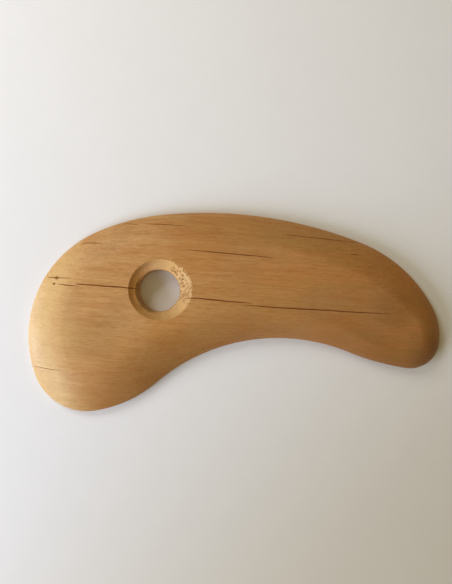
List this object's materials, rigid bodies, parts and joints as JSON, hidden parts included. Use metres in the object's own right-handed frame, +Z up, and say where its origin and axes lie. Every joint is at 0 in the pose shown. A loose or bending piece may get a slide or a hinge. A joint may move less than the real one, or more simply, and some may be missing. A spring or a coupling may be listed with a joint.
{
  "type": "pottery rib",
  "caption": "Kidney-shaped wooden throwing rib with a bevelled shaping edge all round, a hollow belly side and a dished finger hole.",
  "frame": {"origin": "middle of the outline's box, on the flat underside", "axes": "+X along the length from the broad heel to the narrow nose, +Y from the hollow belly to the rounded back, +Z up out of the bevelled upper face"},
  "size_m": [0.1598, 0.0772, 0.01],
  "materials": {
    "wood": "satin"
  },
  "bodies": {
    "root": {"rib": "wood"}
  },
  "joints": []
}
